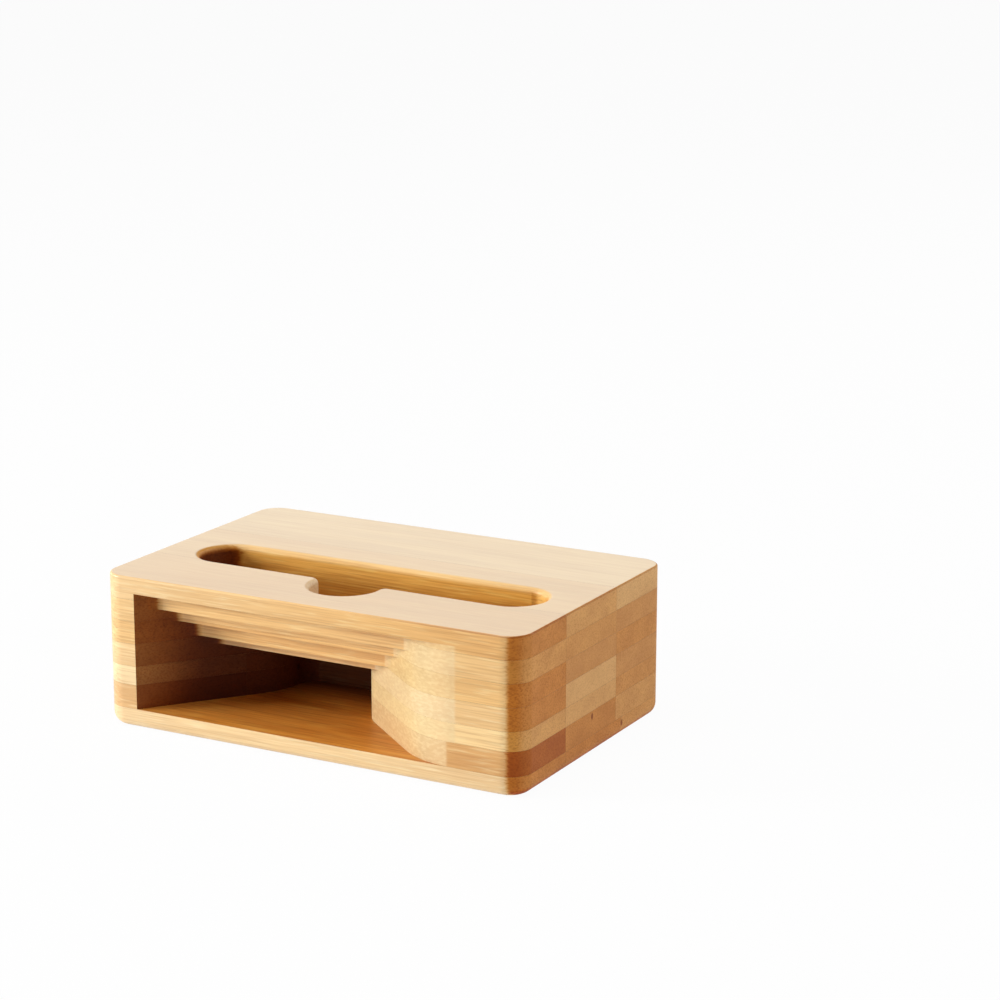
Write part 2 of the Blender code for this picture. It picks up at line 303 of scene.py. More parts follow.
# %% Find where the mill stops in a corner
MILL_RADIUS = 5.2 * MM
HALVINGS = 50


def nearest(wall, point):
    """How far a point is from a wall, and the place and run of the wall that it is nearest to."""
    found = []
    for run, ((ax, ay), (bx, by)) in enumerate(zip(wall, wall[1:])):
        along = (point[0] - ax) * (bx - ax) + (point[1] - ay) * (by - ay)
        share = min(max(along / ((bx - ax) ** 2 + (by - ay) ** 2), 0), 1)
        place = (ax + share * (bx - ax), ay + share * (by - ay))
        found.append((hypot(point[0] - place[0], point[1] - place[1]), place, run))
    return min(found)


def wall_x(wall, y):
    """Where a wall, drawn from front to back, crosses a line along X."""
    for (ax, ay), (bx, by) in zip(wall, wall[1:]):
        if y <= by:
            break
    return ax + (bx - ax) * (y - ay) / (by - ay)


def mill_corner(wall, riser):
    """The place and run of the wall that the mill touches, and its arc from there to the riser."""
    centre_y = riser - MILL_RADIUS
    touching, clear = wall_x(wall, centre_y), THROAT_MIDDLE
    for _ in range(HALVINGS):
        centre = ((touching + clear) / 2, centre_y)
        if nearest(wall, centre)[0] < MILL_RADIUS:
            touching = centre[0]
        else:
            clear = centre[0]
    _, place, run = nearest(wall, centre)
    swing = atan2(place[0] - centre[0], place[1] - centre_y)
    return place, run, arc(centre, MILL_RADIUS, pi / 2 - swing, pi / 2)[1:]


def pocket(riser):
    """The outline of the pocket that ends at one riser."""
    (left_place, left_run, left_arc), (right_place, right_run, right_arc) = (
        mill_corner(wall, riser) for wall in walls
    )
    outline = walls[0][: left_run + 1] + [left_place] + left_arc
    return outline + right_arc[::-1] + [right_place] + walls[1][: right_run + 1][::-1]


print("points of the longest pocket:", len(pocket(HORN_BACK)))

# %% Mill the five pockets
HORN_FLOOR = LEVELS[1]
# How far each pocket runs in from the front, and how high its ceiling is.
DEPTHS = [depth * MM for depth in (4.5, 8.5, 12.5, 17.2, 42.0)]
CEILINGS = [height * MM for height in (35.7, 31.2, 27.6, 23.2, 20.3)]

milled = block.copy()
milled.data = block.data.copy()
milled.name = "milled_block"
scene.collection.objects.link(milled)
for number, (depth, ceiling) in enumerate(zip(DEPTHS, CEILINGS), start=1):
    outline = pocket(FRONT + depth)
    mill = raise_outline(f"pocket_{number}", outline, HORN_FLOOR - PAST, ceiling)
    cut(milled, mill)
    bpy.data.objects.remove(mill)
    print("pocket", number, "cut,", len(milled.data.polygons), "faces")

# %% [markdown]
# ## Slot, notch and port
#
# The slot is an outline with round ends. A round notch opens its front wall for a charging plug,
# with a soft corner on each side. A narrow port in the slot's floor leads the sound down into the
# throat. They are drawn as outlines too. A soft corner touches the slot's straight wall and the
# notch's round one, so its centre is as far from each as its radius, and Pythagoras finds it.

# %% Mill the slot and the port
SLOT_FRONT = FRONT + 23.0 * MM
SLOT_LENGTH, SLOT_WIDTH = 99.2 * MM, 16.6 * MM
SLOT_CENTRE = SLOT_FRONT + SLOT_WIDTH / 2
SLOT_FLOOR = LEVELS[5] + 1.2 * MM
NOTCH_RADIUS, NOTCH_EDGE = 8.8 * MM, 2.4 * MM
NOTCH_FRONT = SLOT_FRONT - 12.2 * MM
NOTCH_CENTRE = NOTCH_FRONT + NOTCH_RADIUS
PORT_LENGTH, PORT_WIDTH = 24.0 * MM, 8.0 * MM


def obround(centre, length, width):
    """A slot's outline: two straights and two round ends."""
    radius, reach = width / 2, (length - width) / 2
    round_right = arc((centre[0] + reach, centre[1]), radius, -pi / 2, pi / 2)
    return round_right + arc((centre[0] - reach, centre[1]), radius, pi / 2, 3 * pi / 2)


edge_y = SLOT_FRONT - NOTCH_EDGE
edge_x = ((NOTCH_RADIUS + NOTCH_EDGE) ** 2 - (edge_y - NOTCH_CENTRE) ** 2) ** 0.5
touch = atan2(edge_y - NOTCH_CENTRE, edge_x)
slot_outline = obround((0, SLOT_CENTRE), SLOT_LENGTH, SLOT_WIDTH)
slot_outline += arc((-edge_x, edge_y), NOTCH_EDGE, pi / 2, -touch)
slot_outline += arc((0, NOTCH_CENTRE), NOTCH_RADIUS, pi - touch, 2 * pi + touch)[1:-1]
slot_outline += arc((edge_x, edge_y), NOTCH_EDGE, pi + touch, pi / 2)
slot_mill = raise_outline("slot_mill", slot_outline, SLOT_FLOOR, TOP + PAST)
port_outline = obround((THROAT_MIDDLE, SLOT_CENTRE), PORT_LENGTH, PORT_WIDTH)
port_mill = raise_outline("port_mill", port_outline, CEILINGS[-1] - PAST, SLOT_FLOOR + PAST)
for mill in (slot_mill, port_mill):
    cut(milled, mill)
    bpy.data.objects.remove(mill)
print("slot and port cut,", len(milled.data.polygons), "faces")

# %% [markdown]
# ## Eased edges
#
# Nobody leaves a milled rim as sharp as the mill does: sandpaper takes the edge off, and that
# round catches the light. The rim of the slot is picked as the edges of the flat top that lie
# inside the block, and bevelled in edit mode. A bevel modifier could do it as well, but it would
# ask for a group of points, and the rule below says in words which edges are meant.

# %% Ease the rim of the slot
RIM_RADIUS, RIM_SEGMENTS = 1.4 * MM, 5
INSIDE = 5 * MM


def on_slot_rim(a, b):
    """Whether an edge lies on the top, away from the block's own edges."""
    inside = all(LEFT + INSIDE < end.x < RIGHT - INSIDE for end in (a, b))
    inside = inside and all(FRONT + INSIDE < end.y < BACK - INSIDE for end in (a, b))
    return inside and near(a.z, TOP) and near(b.z, TOP)


edit(milled)
eased = pick_edges(milled, on_slot_rim)
round_edges(RIM_RADIUS, RIM_SEGMENTS)
leave()
print("rim edges eased:", eased)

# %% [markdown]
# ## The strips
#
# Each strip is a plank of its own, so it is cut out of the milled block with a box of its own
# size, and the base board's strips out of the block that was not milled, since the base goes on
# last. Neighbours are kept apart by the thickness of their glue line. A single block with lines
# painted on it would look much the same from afar, but it would be one piece of wood.
#
# A cut can leave two points almost in one place, so they are merged after it. The curves are then
# shaded smooth, and a weighted normal keeps the large flat faces flat in the light.

# %% Saw the block into strips
GLUE = 0.012 * MM
MERGE_WITHIN, SLIVER_BELOW = GLUE / 4, GLUE / 8
SMOOTH_BELOW = radians(25)
FULL_WEIGHT = 100
WHOLE = (LEFT - PAST, RIGHT + PAST)
CUT_THROUGH = ("layer_2", "layer_3")


def span(low, high, first, last):
    """A strip's reach between two seams, or past the block where it has no neighbour."""
    start = low - PAST if low == first else low + GLUE / 2
    end = high + PAST if high == last else high - GLUE / 2
    return start, end


def saw(name, stock, x, y, z):
    """One strip, cut out of a block and shaded smooth on its curves."""
    plank = add_box(f"{name}.wood", *zip(x, y, z))
    cut(plank, stock, "INTERSECT")
    edit(plank)
    bpy.ops.mesh.select_all(action="SELECT")
    bpy.ops.mesh.remove_doubles(threshold=MERGE_WITHIN)
    bpy.ops.mesh.dissolve_degenerate(threshold=SLIVER_BELOW)
    leave()
    bpy.ops.object.shade_smooth_by_angle(angle=SMOOTH_BELOW)
    flat = plank.modifiers.new("flat", "WEIGHTED_NORMAL")
    flat.weight = FULL_WEIGHT
    flat.keep_sharp = True
    bpy.ops.object.modifier_apply(modifier=flat.name)
    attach(plank, "root")
    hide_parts(name)
    return plank


def pieces(layer, place):
    """Names with their reach along X. The mouth cuts the front strips of two layers in two."""
    if place == "front" and layer in CUT_THROUGH:
        left, right = (WHOLE[0], THROAT_MIDDLE), (THROAT_MIDDLE, WHOLE[1])
        return {f"{layer}_front_left_strip": left, f"{layer}_front_right_strip": right}
    return {f"{layer}_{place}_strip": WHOLE}


planks = {}
for layer, low, high in zip(LAYERS, LEVELS, LEVELS[1:]):
    stock = block if layer == "base" else milled
    z = span(low, high, BOTTOM, TOP)
    seams = [FRONT, FRONT_SEAM, BASE_REAR_SEAM if layer == "base" else REAR_SEAM, BACK]
    for place, near_y, far_y in zip(("front", "middle", "rear"), seams, seams[1:]):
        y = span(near_y, far_y, FRONT, BACK)
        for name, x in pieces(layer, place).items():
            plank = saw(name, stock, x, y, z)
            planks[name] = (plank, (y[0], z[0]), (y[1], z[1]))
for guide in (block, milled):
    bpy.data.objects.remove(guide)
faces = sum(len(plank.data.polygons) for plank, *_ in planks.values())
print("strips sawn:", len(planks), "with", faces, "faces")

# %% [markdown]
# ## Writing a finish
#
# A finish is a small net of shader nodes. Wiring it by hand is quick for three nodes and a chore
# for thirty, so a value that leaves a node is wrapped in a class that knows plus, minus and
# times: each sum adds its own Math node. Everything else comes from one method, `add`, and the
# few kinds that come back often have a short method of their own on top of it.

# %% Wrap the values


class Value:
    """A number, colour or vector on its way from one node to another."""

    def __init__(self, net, socket):
        self.net = net
        self.socket = socket

    def sum(self, operation, *values):
        """The result of one Math node."""
        return self.net.add("ShaderNodeMath", {"operation": operation}, dict(enumerate(values)))

    def __add__(self, other):
        return self.sum("ADD", self, other)

    def __radd__(self, other):
        return self.sum("ADD", other, self)

    def __sub__(self, other):
        return self.sum("SUBTRACT", self, other)

    def __rsub__(self, other):
        return self.sum("SUBTRACT", other, self)

    def __mul__(self, other):
        return self.sum("MULTIPLY", self, other)

    def __rmul__(self, other):
        return self.sum("MULTIPLY", other, self)

    def larger(self, other):
        return self.sum("MAXIMUM", self, other)

    def smaller(self, other):
        return self.sum("MINIMUM", self, other)

    def size(self):
        return self.sum("ABSOLUTE", self)


# %% Collect the nodes in a net


class Net:
    """The nodes of one material, or of the world."""

    def __init__(self, owner, shader):
        owner.use_nodes = True
        self.owner = owner
        self.tree = owner.node_tree
        self.shader = self.tree.nodes[shader]

    def add(self, kind, settings, inputs, output=0):
        """One node: its settings first, then a number or a link for each socket."""
        node = self.tree.nodes.new(kind)
        for name, setting in settings.items():
            setattr(node, name, setting)
        self.feed(node, inputs)
        return Value(self, node.outputs[output])

    def feed(self, node, inputs):
        """Gives a node's sockets their links and numbers."""
        for name, value in inputs.items():
            if isinstance(value, Value):
                self.tree.links.new(value.socket, node.inputs[name])
            else:
                node.inputs[name].default_value = value

    def step(self, value, low, high):
        """Rises smoothly from 0 to 1 while a value goes from low to high."""
        sockets = {"Value": value, "From Min": low, "From Max": high}
        return self.add("ShaderNodeMapRange", {"interpolation_type": "SMOOTHSTEP"}, sockets)

    def within(self, value, low, high):
        """1 between two limits, and 0 outside them."""
        above = self.add("ShaderNodeMath", {"operation": "GREATER_THAN"}, {0: value, 1: low})
        below = self.add("ShaderNodeMath", {"operation": "LESS_THAN"}, {0: value, 1: high})
        return above * below

    def split(self, vector):
        """The three numbers of a vector."""
        return [self.add("ShaderNodeSeparateXYZ", {}, {0: vector}, axis) for axis in range(3)]

    def mix(self, share, first, second, mode="MIX"):
        """Mixes two colours, or with MULTIPLY stains the first with the second."""
        settings = {"data_type": "RGBA", "blend_type": mode}
        return self.add("ShaderNodeMix", settings, {0: share, 6: first, 7: second}, output=2)

    def stretch(self, place, scale, shift=(0, 0, 0)):
        """The place on the wood, counted in grain cells of the given size."""
        cells = tuple(1 / size for size in scale)
        settings = {"operation": "MULTIPLY_ADD"}
        return self.add("ShaderNodeVectorMath", settings, {0: place, 1: cells, 2: shift})

    def noise(self, place, detail, roughness):
        """Soft noise with the given number of finer layers."""
        sockets = {"Vector": place, "Scale": 1.0, "Detail": detail, "Roughness": roughness}
        return self.add("ShaderNodeTexNoise", {"noise_dimensions": "3D"}, sockets)


def new_finish(name):
    """A net with a new material's Principled shader in it."""
    return Net(bpy.data.materials.new(name), "Principled BSDF")


def colour(red, green, blue):
    """A colour as a picture program shows it, from 0 to 255, made linear for the shader."""
    linear = []
    for value in (red, green, blue):
        share = value / 255
        linear.append(share / 12.92 if share <= 0.04045 else ((share + 0.055) / 1.055) ** 2.4)
    return (*linear, 1)


WHITE = colour(255, 255, 255)
print("a net is ready, and white is", WHITE)

# %% [markdown]
# ## Bamboo
#
# Bamboo has no year rings. It is a pale ground with long brown fibre bundles in it: seen from
# the side they are fine lines along the strip, and on a sawn end they are dots. A picture of
# wood would have to be fitted to each face, and it would not meet at the edges. So the wood is
# solid: noise and cells that are stretched along X by their place in the strip, which gives lines
# on the sides, dots on the ends and short dashes on the horn's slanting walls by themselves.
#
# The pattern needs only the place. The tone also needs the way a face looks, because a milled or
# sawn face is matt and has its own colour, and the painted light and shade follow how a face is
# turned. One coordinate node gives each, split into its numbers.

# %% Ask for place and direction
PATTERN_SHIFTS = (3.7, 5.3, 7.9)


class Spot:
    """A spot on a strip: its place in the block, and how far its face is turned each way."""

    def __init__(self, net, number):
        self.place = net.add("ShaderNodeTexCoord", {}, {}, output="Object")
        self.shift = tuple(number * shift for shift in PATTERN_SHIFTS)
        self.x, self.y, self.z = net.split(self.place)
        facing = net.add("ShaderNodeTexCoord", {}, {}, output="Normal")
        self.turned, _, self.raised = net.split(facing)
        self.leftward = self.turned * -1


print("the second strip's pattern is shifted by", PATTERN_SHIFTS)

# %% Grow the grain
# The size of one cell of each pattern along X, Y and Z.
GROWTH_CELL = (60 * MM, 7 * MM, 5 * MM)
LINE_CELL = (24 * MM, 0.52 * MM, 0.44 * MM)
STREAK_CELL = (9 * MM, 1.3 * MM, 0.62 * MM)
FLECK_CELL = (1.5 * MM, 1.5 * MM, 0.7 * MM)
BUNDLE_CELL = (16 * MM, 0.62 * MM, 0.55 * MM)


class Grain:
    """The patterns of the wood at a spot, each from 0 to 1."""

    def __init__(self, net, spot):
        def pattern(cell, low, high, detail=2, roughness=0.5):
            noise = net.noise(net.stretch(spot.place, cell, spot.shift), detail, roughness)
            return net.step(noise, low, high)

        self.growth = pattern(GROWTH_CELL, 0.30, 0.75)
        self.lines = pattern(LINE_CELL, 0.42, 0.72, detail=3, roughness=0.6)
        self.streaks = pattern(STREAK_CELL, 0.50, 0.72)
        self.flecks = pattern(FLECK_CELL, 0.42, 0.66)
        sockets = {"Vector": net.stretch(spot.place, BUNDLE_CELL, spot.shift), "Scale": 1.0}
        distance = net.add("ShaderNodeTexVoronoi", {"feature": "F1"}, sockets)
        self.bundles = 1 - net.step(distance, 0.16, 0.42)


print("a fibre line is about", round(LINE_CELL[0] / LINE_CELL[1]), "times as long as wide")

# %% [markdown]
# ### Where the cuts are
#
# The horn, the slot and the notch are milled, and each is coloured otherwise than the sanded
# outside, much of it with painted light and shade.
# Their faces could have materials of their own, but the grain has to run on from one face to the
# next. So one material serves, and a few masks tell by place and direction what a spot lies on.

# %% Mark the cuts
# How far a zone reaches past its cut, and how far behind the front face the horn's begins.
MARGIN, SKIN = 0.1 * MM, 0.02 * MM
SLOT_REACH = 50 * MM
RIM_REACH = 1.6 * MM
# The lip's pale zone ends here in layer 2, and farther right by this much in the layers above.
PALE_EDGE, PALE_STEP = LIP_START - 1.1 * MM, 2.3 * MM
PALE_BLUR, LIP_DEPTH = 0.5 * MM, 0.3 * MM
# Heights between which the eased rim turns into the slot's wall, and ends at the top.
RIM_TURN, RIM_END = (TOP - 2.2 * MM, TOP - 0.4 * MM), (TOP - 0.3 * MM, TOP)
NOTCH_FOOT = SLOT_FLOOR + 0.3 * MM
# How far the fibre lines fray the border between a side and an end.
RAGGED = 0.07
# How much fainter the grain is on the flared wall and on the polished top.
FAINTER_ON_FLARE, FAINTER_ON_TOP = 0.7, 0.66


class Zones:
    """What a spot lies on, each answer from 0 for no to 1 for yes."""

    def __init__(self, net, spot, grain):
        x, y, z = spot.x, spot.y, spot.z
        around = net.within(y, NOTCH_FRONT - RIM_REACH, SLOT_FRONT + SLOT_WIDTH + RIM_REACH)
        around = around * net.within(x, -SLOT_REACH, SLOT_REACH)
        self.below_top = around * net.within(z, SLOT_FLOOR - MARGIN, TOP)
        self.milled_above = self.below_top * (1 - net.step(z, *RIM_END))
        self.notch = self.below_top * net.within(y, FRONT, SLOT_FRONT - MARGIN)
        self.notch = self.notch * net.within(z, NOTCH_FOOT, TOP)
        self.slot = (self.below_top - self.notch) * (1 - net.step(z, *RIM_TURN))

        horn = net.within(x, POST_EDGE - MM, LIP_START)
        horn = horn * net.within(y, FRONT + SKIN, HORN_BACK + MM)
        horn = horn * net.within(z, HORN_FLOOR - MARGIN, CEILINGS[0] + MARGIN)
        self.horn = horn * (1 - self.below_top)
        self.outside = (1 - self.horn) * (1 - self.below_top)
        self.top = net.step(spot.raised, 0.85, 1.0) * (1 - self.horn)

        pale_edge = PALE_EDGE + net.step(z, LEVELS[2] - MARGIN, LEVELS[2] + MARGIN) * PALE_STEP
        lip = net.step(pale_edge - x, -PALE_BLUR, PALE_BLUR) * net.within(x, 0, RIGHT)
        lip = lip * net.within(y, FRONT - MM, FRONT + LIP_DEPTH)
        lip = lip * net.within(z, HORN_FLOOR, CEILINGS[0])
        self.flared = (self.horn * net.step(spot.leftward, 0.02, 0.12)).larger(lip)

        ragged = spot.turned + (grain.lines - 0.5) * RAGGED
        across = net.step(ragged, 0.19, 0.43) + net.step(spot.leftward, 0.60, 0.95)
        self.cut_across = across * (1 - self.flared.larger(self.notch))
        self.sawn = net.step(spot.turned.size(), 0.60, 0.90)
        polished = net.step(spot.raised, 0.5, 0.9) * (1 - self.horn)
        self.smooth = 1 - self.flared * FAINTER_ON_FLARE - polished * FAINTER_ON_TOP


print("the slot's zone is", round(2 * SLOT_REACH / MM), "mm long")

# %% [markdown]
# ### Tone and grain
#
# No two strips of a laminated board come from the same cane, so each has one of five tones. The
# fibres are laid over the tone, strong on the sides and weak on the polished top. A face that is
# cut across the fibres looks deeper in colour, as end grain does under lacquer. The flared wall
# that faces the light gets a paler tone with a painted highlight, the top a painted sheen, and the
# notch and the stand's left end painted light. One flat colour with noise over it would show none of
# it.

# %% Colour the grain
TONES = {
    "bamboo_pale": colour(250, 216, 157),
    "bamboo_cream": colour(244, 202, 137),
    "bamboo_honey": colour(237, 191, 125),
    "bamboo_golden": colour(228, 177, 112),
    "bamboo_caramel": colour(222, 169, 104),
}
FIBRE = colour(172, 109, 50)
FLECK = colour(255, 238, 184)
# The flared wall's paler tone with its painted highlight, and the painted shade that tones it down.
FLARE_TONE_AND_HIGHLIGHT = colour(234, 204, 156)
FLARE_PAINTED_SHADE = (0.84, 0.88, 0.86, 1)
# A painted sheen on the top, also used for painted light on the notch.
PAINTED_LIGHT_TONE = colour(234, 211, 178)
# Painted light on the stand's left end.
LEFT_PAINTED_LIGHT = colour(240, 222, 182)
SLANT_TINT = colour(232, 198, 142)
END_TINT = colour(231, 203, 173)
# How strongly each pattern shows.
GROWTH, FLECKS, STREAKS, LINES = 0.22, 0.20, 0.30, 0.34
BUNDLES, MORE_BUNDLES_ON_ENDS = 0.14, 0.10
# How strongly the flared wall takes its paler tone with a painted highlight, the top its painted
# sheen, and the notch and the stand's left end their painted light; and where along X the left
# end's painted light rises.
FLARE_AND_HIGHLIGHT_SHARE, PAINTED_SHEEN_SHARE, LEFT_PAINTED_LIGHT_SHARE, LEFT_REACH = 0.55, 0.40, 0.10, (30 * MM, 58 * MM)
NOTCH_PAINTED_LIGHT, MORE_PAINTED_LIGHT_ON_ITS_LEFT = 0.15, 0.45
# A painted shade on the flared wall that tones its painted highlight down: a little all over, and
# the rest where it turns to the left, towards the lamp.
SHADE, MORE_SHADE = 0.10, 0.90


def grown(net, spot, grain, zones, tone):
    """The colour of the wood: the tone, paler on some cuts and faces with painted light, with the
    grain and the ends in it.
    """
    wood = net.mix(grain.growth * GROWTH, tone, FIBRE)
    # A paler tone and a painted highlight on the flared wall where it faces the lamp, toned down by a
    # painted shade.
    wood = net.mix(zones.flared * FLARE_AND_HIGHLIGHT_SHARE, wood, FLARE_TONE_AND_HIGHLIGHT)
    shaded = zones.flared * (SHADE + net.step(spot.leftward, 0.05, 0.40) * MORE_SHADE)
    wood = net.mix(shaded, wood, FLARE_PAINTED_SHADE, "MULTIPLY")
    wood = net.mix(zones.flared * grain.flecks * FLECKS, wood, FLECK)
    # Painted light on the notch, most on its left wall, and a painted sheen on the top.
    notch_painted_light = NOTCH_PAINTED_LIGHT + net.step(spot.turned, 0.0, 0.8) * MORE_PAINTED_LIGHT_ON_ITS_LEFT
    wood = net.mix((zones.top * PAINTED_SHEEN_SHARE).larger(zones.notch * notch_painted_light), wood, PAINTED_LIGHT_TONE)
    # Painted light, growing paler towards the stand's left end, nearer the lamp.
    wood = net.mix(net.step(spot.x * -1, *LEFT_REACH) * LEFT_PAINTED_LIGHT_SHARE, wood, LEFT_PAINTED_LIGHT)
    along = zones.smooth * (1 - zones.cut_across)
    wood = net.mix(grain.streaks * along * STREAKS, wood, FLECK)
    wood = net.mix(grain.lines * zones.smooth * LINES, wood, FIBRE)
    bundles = BUNDLES + zones.cut_across * MORE_BUNDLES_ON_ENDS
    wood = net.mix(grain.bundles * zones.smooth * bundles, wood, FIBRE)
    return net.mix(zones.cut_across, wood, net.mix(zones.sawn, SLANT_TINT, END_TINT), "MULTIPLY")


print("tones:", list(TONES))

# %% [markdown]
# ### Darker insides
#
# The horn's floor and the slot's walls get a warm painted shade that deepens their colour, and the
# horn and the slot grow darker inwards with painted shade, more than this scene's soft light
# leaves them. A darker lamp would change the whole stand, so the inside is toned by its place.
# The deepening is a gamma, which keeps bright wood bright and strengthens the colour, where a
# grey shade would dull it.

# %% Darken the insides
# Tints of the warm painted shade, of the slot, and of the darker painted shade inside.
WARM_SHADE_TINT = colour(232, 212, 143)
SLOT_TINT = colour(250, 248, 205)
GLOOM_TINT = (0.06, 0.03, 0.32, 1)
# How much warm painted shade the horn gets everywhere and on its floor, and the slot, with less where
# it faces the lamp.
WARM_SHADE_A_LITTLE, WARM_SHADE_ON_FLOOR, WARM_SHADE_IN_SLOT, LESS_SHADE_ON_THE_RIGHT = 0.02, 0.39, 0.14, 0.8
# Where the horn darkens inwards, and where all of it is dark.
DARKENS, DARK = (FRONT + 1 * MM, FRONT + 16 * MM), (FRONT + 22 * MM, HORN_BACK)
GLOOM_AT_MOUTH, GLOOM_INWARDS, GLOOM_FAR_IN = 0.47, 0.38, 0.80
# The slot darkens downwards over these depths, where its wall starts to turn, and at its left.
SLOT_DEPTHS = (2.5 * MM, 7 * MM)
GLOOM_DOWN, GLOOM_ON_TURN, GLOOM_AT_LEFT_END = 0.22, 0.30, 0.75


def warm_shade_in(net, spot, zones):
    """How much warm painted shade the milled wood gets: most on the horn's floor, less where the
    slot's walls face left, towards the lamp.
    """
    in_horn = WARM_SHADE_A_LITTLE + net.step(spot.raised, 0.2, 0.8) * WARM_SHADE_ON_FLOOR
    in_slot = 1 - net.step(spot.leftward, 0.15, 0.4) * LESS_SHADE_ON_THE_RIGHT
    in_horn = zones.horn * in_horn * (1 - zones.flared)
    return in_horn + zones.slot * WARM_SHADE_IN_SLOT * in_slot


def gloom_in(net, spot, zones):
    """How much painted shade darkens the inside: most on walls that face right, away from the lamp,
    and far in or down.
    """
    away = net.step(spot.turned, 0.02, 0.55)
    on_walls = away * (GLOOM_AT_MOUTH + net.step(spot.y, *DARKENS) * GLOOM_INWARDS)
    in_horn = on_walls.larger(net.step(spot.y, *DARK) * GLOOM_FAR_IN)
    down = net.step(TOP - spot.z, *SLOT_DEPTHS) * GLOOM_DOWN
    on_turn = net.step(spot.leftward, 0.02, 0.10) * (1 - net.step(spot.leftward, 0.15, 0.35))
    left_end = net.step(spot.turned, 0.1, 0.6) * GLOOM_AT_LEFT_END
    in_slot = left_end.larger(down + on_turn * GLOOM_ON_TURN)
    return zones.horn * in_horn + zones.slot * in_slot


print("the horn darkens over", round((HORN_BACK - FRONT) / MM), "mm")

# %% [markdown]
# ### Strip by strip
#
# Every cane has taken the lacquer in its own way, which is what makes the seams show at all. The
# table holds how much deeper each strip is than its tone. Random numbers would give as much
# variety, but not the same order of light and dark strips as on the real stand.

# %% Deepen the strips
# How much deeper than its tone a strip is in its colour, on its faces and besides on its ends.
DEEPER = {
    "base_front_strip": (-0.25, 0.50),
    "base_middle_strip": (0, 0.25),
    "base_rear_strip": (0, 0.15),
    "layer_2_front_left_strip": (-0.10, 0),
    "layer_2_front_right_strip": (-0.02, 0.42),
    "layer_2_middle_strip": (0, 0.12),
    "layer_2_rear_strip": (0, -0.05),
    "layer_3_front_left_strip": (-0.10, 0),
    "layer_3_front_right_strip": (0.06, -0.02),
    "layer_3_middle_strip": (0, -0.15),
    "layer_4_front_strip": (-0.12, 0.30),
    "layer_4_middle_strip": (0, -0.20),
    "layer_4_rear_strip": (0, -0.12),
    "layer_5_front_strip": (0.10, 0.18),
    "layer_5_middle_strip": (0, -0.12),
    "layer_5_rear_strip": (0, 0.05),
    "layer_6_middle_strip": (0, -0.05),
    "layer_6_rear_strip": (0, -0.12),
    "layer_7_front_strip": (0.12, 0.02),
    "layer_7_middle_strip": (0, -0.08),
    "layer_7_rear_strip": (0, -0.12),
}
# How much paler a strip grows from the first to the second place of FADE_REACH, along X.
FADE = {"layer_7_front_strip": 0.28, "layer_4_front_strip": 0.05, "layer_3_front_left_strip": 0.05}
# How much deeper the warm painted shade makes the wood, how much painted shade the rounded right
# corner and painted contact shadow the right foot get, and how much deeper the slot's right is.
WARM_SHADE_DEEPER, CORNER_PAINTED_SHADE, FOOT_PAINTED_SHADOW, SLOT_DEEPER = 2.4, 0.13, 0.6, 0.16
FADE_REACH, SLOT_RIGHT = (40 * MM, -40 * MM), (10 * MM, 50 * MM)


def deepening(net, spot, zones, name, warm_shade, gloom):
    """The gamma for a spot: 1 leaves the colour alone, and more makes it deeper."""
    on_faces, on_ends = DEEPER.get(name, (0, 0))
    fade = net.step(spot.x * -1, -FADE_REACH[0], -FADE_REACH[1]) * FADE.get(name, 0)
    # A painted shade on the rounded right corner, where it turns away from the lamp.
    corner = net.step(spot.turned, 0.25, 0.50) * (1 - net.step(spot.turned, 0.70, 0.97))
    # A painted contact shadow on the lower round edge that faces down and to the right.
    foot = net.step(spot.raised * -1, 0.25, 0.70) * net.step(spot.turned, 0.10, 0.40)
    gamma = 1 + (1 - zones.top) * (on_faces - fade) + warm_shade * WARM_SHADE_DEEPER + gloom
    gamma = gamma + zones.cut_across * (1 - zones.horn) * on_ends
    gamma = gamma + corner * zones.outside * CORNER_PAINTED_SHADE + foot * (1 - zones.horn) * FOOT_PAINTED_SHADOW
    return gamma + zones.slot * net.step(spot.x, *SLOT_RIGHT) * SLOT_DEEPER


print("strips with a depth of their own:", len(DEEPER))

# %% [markdown]
# ### Seams, crest and knots
#
# Glue stains the wood beside a seam, and the sides of a strip that are glued never see light. The
# rounded upper edge gets a painted shade on its right half. Two knots sit in the right end, each a
# dark dot found by its distance from one point. The glue line itself is not painted: it is the
# real gap between two strips.

# %% Stain the seams
GLUE_TINT = colour(164, 112, 62)
DRY_GLUE = colour(70, 40, 16)
STAIN_WIDTH, STAIN = 0.22 * MM, 0.10
# A spot as near as this to one of its strip's seams lies on a glued side.
GLUED_DEPTHS, DRY_GLUE_SHARE = (0.001 * MM, 0.008 * MM), 0.9
# A painted shade on the rounded upper edge: its strength, how much less at the corner, and its reach
# along X.
CREST_SHADE, LESS_AT_CORNER, CREST_REACH = 0.55, 0.15, (0, 45 * MM)


def stained(net, spot, zones, wood, low, high):
    """Stains a strip beside its seams, and darkens its glued sides. Low and high: along Y and Z."""
    y, z = spot.y, spot.z
    rim = (z - low[1]).smaller(high[1] - z).smaller(y - low[0]).smaller(high[0] - y)
    stain = (1 - net.step(rim, 0, STAIN_WIDTH)) * (1 - zones.flared) * STAIN
    wood = net.mix(stain, wood, GLUE_TINT, "MULTIPLY")
    in_the_open = zones.below_top.larger(zones.horn * net.step(spot.raised, 0.2, 0.8))
    glued = (1 - net.step(rim, *GLUED_DEPTHS)) * (1 - in_the_open)
    return net.mix(glued * DRY_GLUE_SHARE, wood, DRY_GLUE)


